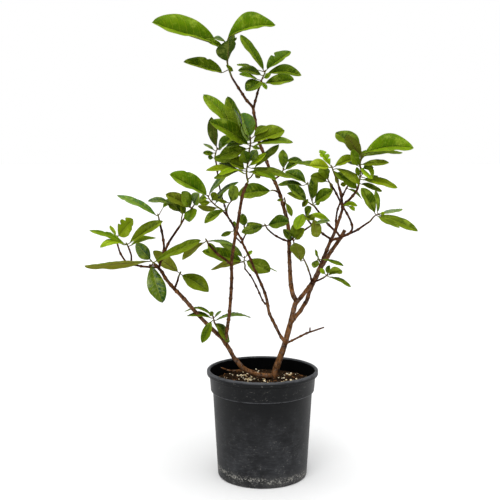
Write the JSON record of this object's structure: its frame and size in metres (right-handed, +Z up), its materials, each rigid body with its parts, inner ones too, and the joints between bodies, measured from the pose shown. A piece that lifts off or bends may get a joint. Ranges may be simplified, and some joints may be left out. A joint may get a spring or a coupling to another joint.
{
  "type": "potted plant",
  "caption": "Young cherry laurel in a round black nursery pot: bare forked stems carrying loose sprays of glossy oval leaves.",
  "frame": {"origin": "centre of the pot's underside", "axes": "+Z up along the pot's axis, -Y towards the front view that the leaves are laid out from"},
  "size_m": [0.6342, 0.3545, 0.8978],
  "materials": {
    "pot_plastic": "matte, scuffed",
    "potting_soil": "crumbly",
    "laurel_bark": "thin grey-brown bark",
    "spray_crown_left_leaf": "glossy leaf",
    "spray_crown_right_leaf": "glossy leaf",
    "spray_front_whorl_leaf": "glossy leaf",
    "spray_front_crown_leaf": "glossy leaf",
    "spray_back_thin_leaf": "glossy leaf",
    "spray_back_bright_leaf": "glossy leaf",
    "spray_back_middle_leaf": "glossy leaf",
    "spray_leader_low_leaf_leaf": "glossy leaf",
    "spray_leader_side_leaf": "glossy leaf",
    "spray_leader_bud_leaf": "glossy leaf",
    "spray_middle_leaf": "glossy leaf",
    "spray_behind_middle_leaf": "glossy leaf",
    "spray_behind_small_leaf": "glossy leaf",
    "spray_low_back_leaf": "glossy leaf",
    "spray_left_small_leaf": "glossy leaf",
    "spray_left_high_leaf": "glossy leaf",
    "spray_left_fan_leaf": "glossy leaf",
    "spray_left_end_leaf": "glossy leaf",
    "spray_far_left_top_leaf": "glossy leaf",
    "spray_far_left_leaf": "glossy leaf",
    "spray_left_low_leaf": "glossy leaf",
    "spray_low_left_leaf": "glossy leaf",
    "spray_centre_dark_leaf": "glossy leaf",
    "spray_centre_olive_leaf": "glossy leaf",
    "spray_centre_lime_leaf": "glossy leaf",
    "spray_round_leaf_leaf": "glossy leaf",
    "spray_right_middle_leaf": "glossy leaf",
    "spray_far_right_leaf": "glossy leaf",
    "spray_right_crown_leaf": "glossy leaf",
    "spray_right_behind_leaf": "glossy leaf",
    "spray_right_inner_leaf": "glossy leaf",
    "spray_right_step_leaf": "glossy leaf",
    "spray_right_top_leaf": "glossy leaf",
    "spray_right_lime_leaf": "glossy leaf",
    "spray_right_low_leaf": "glossy leaf",
    "spray_right_inside_leaf": "glossy leaf"
  },
  "bodies": {
    "root": {"pot": "pot_plastic", "soil": "potting_soil", "woody_frame": "laurel_bark", "spray_crown_left": "spray_crown_left_leaf", "spray_crown_right": "spray_crown_right_leaf", "spray_front_whorl": "spray_front_whorl_leaf", "spray_front_crown": "spray_front_crown_leaf", "spray_back_thin": "spray_back_thin_leaf", "spray_back_bright": "spray_back_bright_leaf", "spray_back_middle": "spray_back_middle_leaf", "spray_leader_low_leaf": "spray_leader_low_leaf_leaf", "spray_leader_side": "spray_leader_side_leaf", "spray_leader_bud": "spray_leader_bud_leaf", "spray_middle": "spray_middle_leaf", "spray_behind_middle": "spray_behind_middle_leaf", "spray_behind_small": "spray_behind_small_leaf", "spray_low_back": "spray_low_back_leaf", "spray_left_small": "spray_left_small_leaf", "spray_left_high": "spray_left_high_leaf", "spray_left_fan": "spray_left_fan_leaf", "spray_left_end": "spray_left_end_leaf", "spray_far_left_top": "spray_far_left_top_leaf", "spray_far_left": "spray_far_left_leaf", "spray_left_low": "spray_left_low_leaf", "spray_low_left": "spray_low_left_leaf", "spray_centre_dark": "spray_centre_dark_leaf", "spray_centre_olive": "spray_centre_olive_leaf", "spray_centre_lime": "spray_centre_lime_leaf", "spray_round_leaf": "spray_round_leaf_leaf", "spray_right_middle": "spray_right_middle_leaf", "spray_far_right": "spray_far_right_leaf", "spray_right_crown": "spray_right_crown_leaf", "spray_right_behind": "spray_right_behind_leaf", "spray_right_inner": "spray_right_inner_leaf", "spray_right_step": "spray_right_step_leaf", "spray_right_top": "spray_right_top_leaf", "spray_right_lime": "spray_right_lime_leaf", "spray_right_low": "spray_right_low_leaf", "spray_right_inside": "spray_right_inside_leaf"}
  },
  "joints": []
}
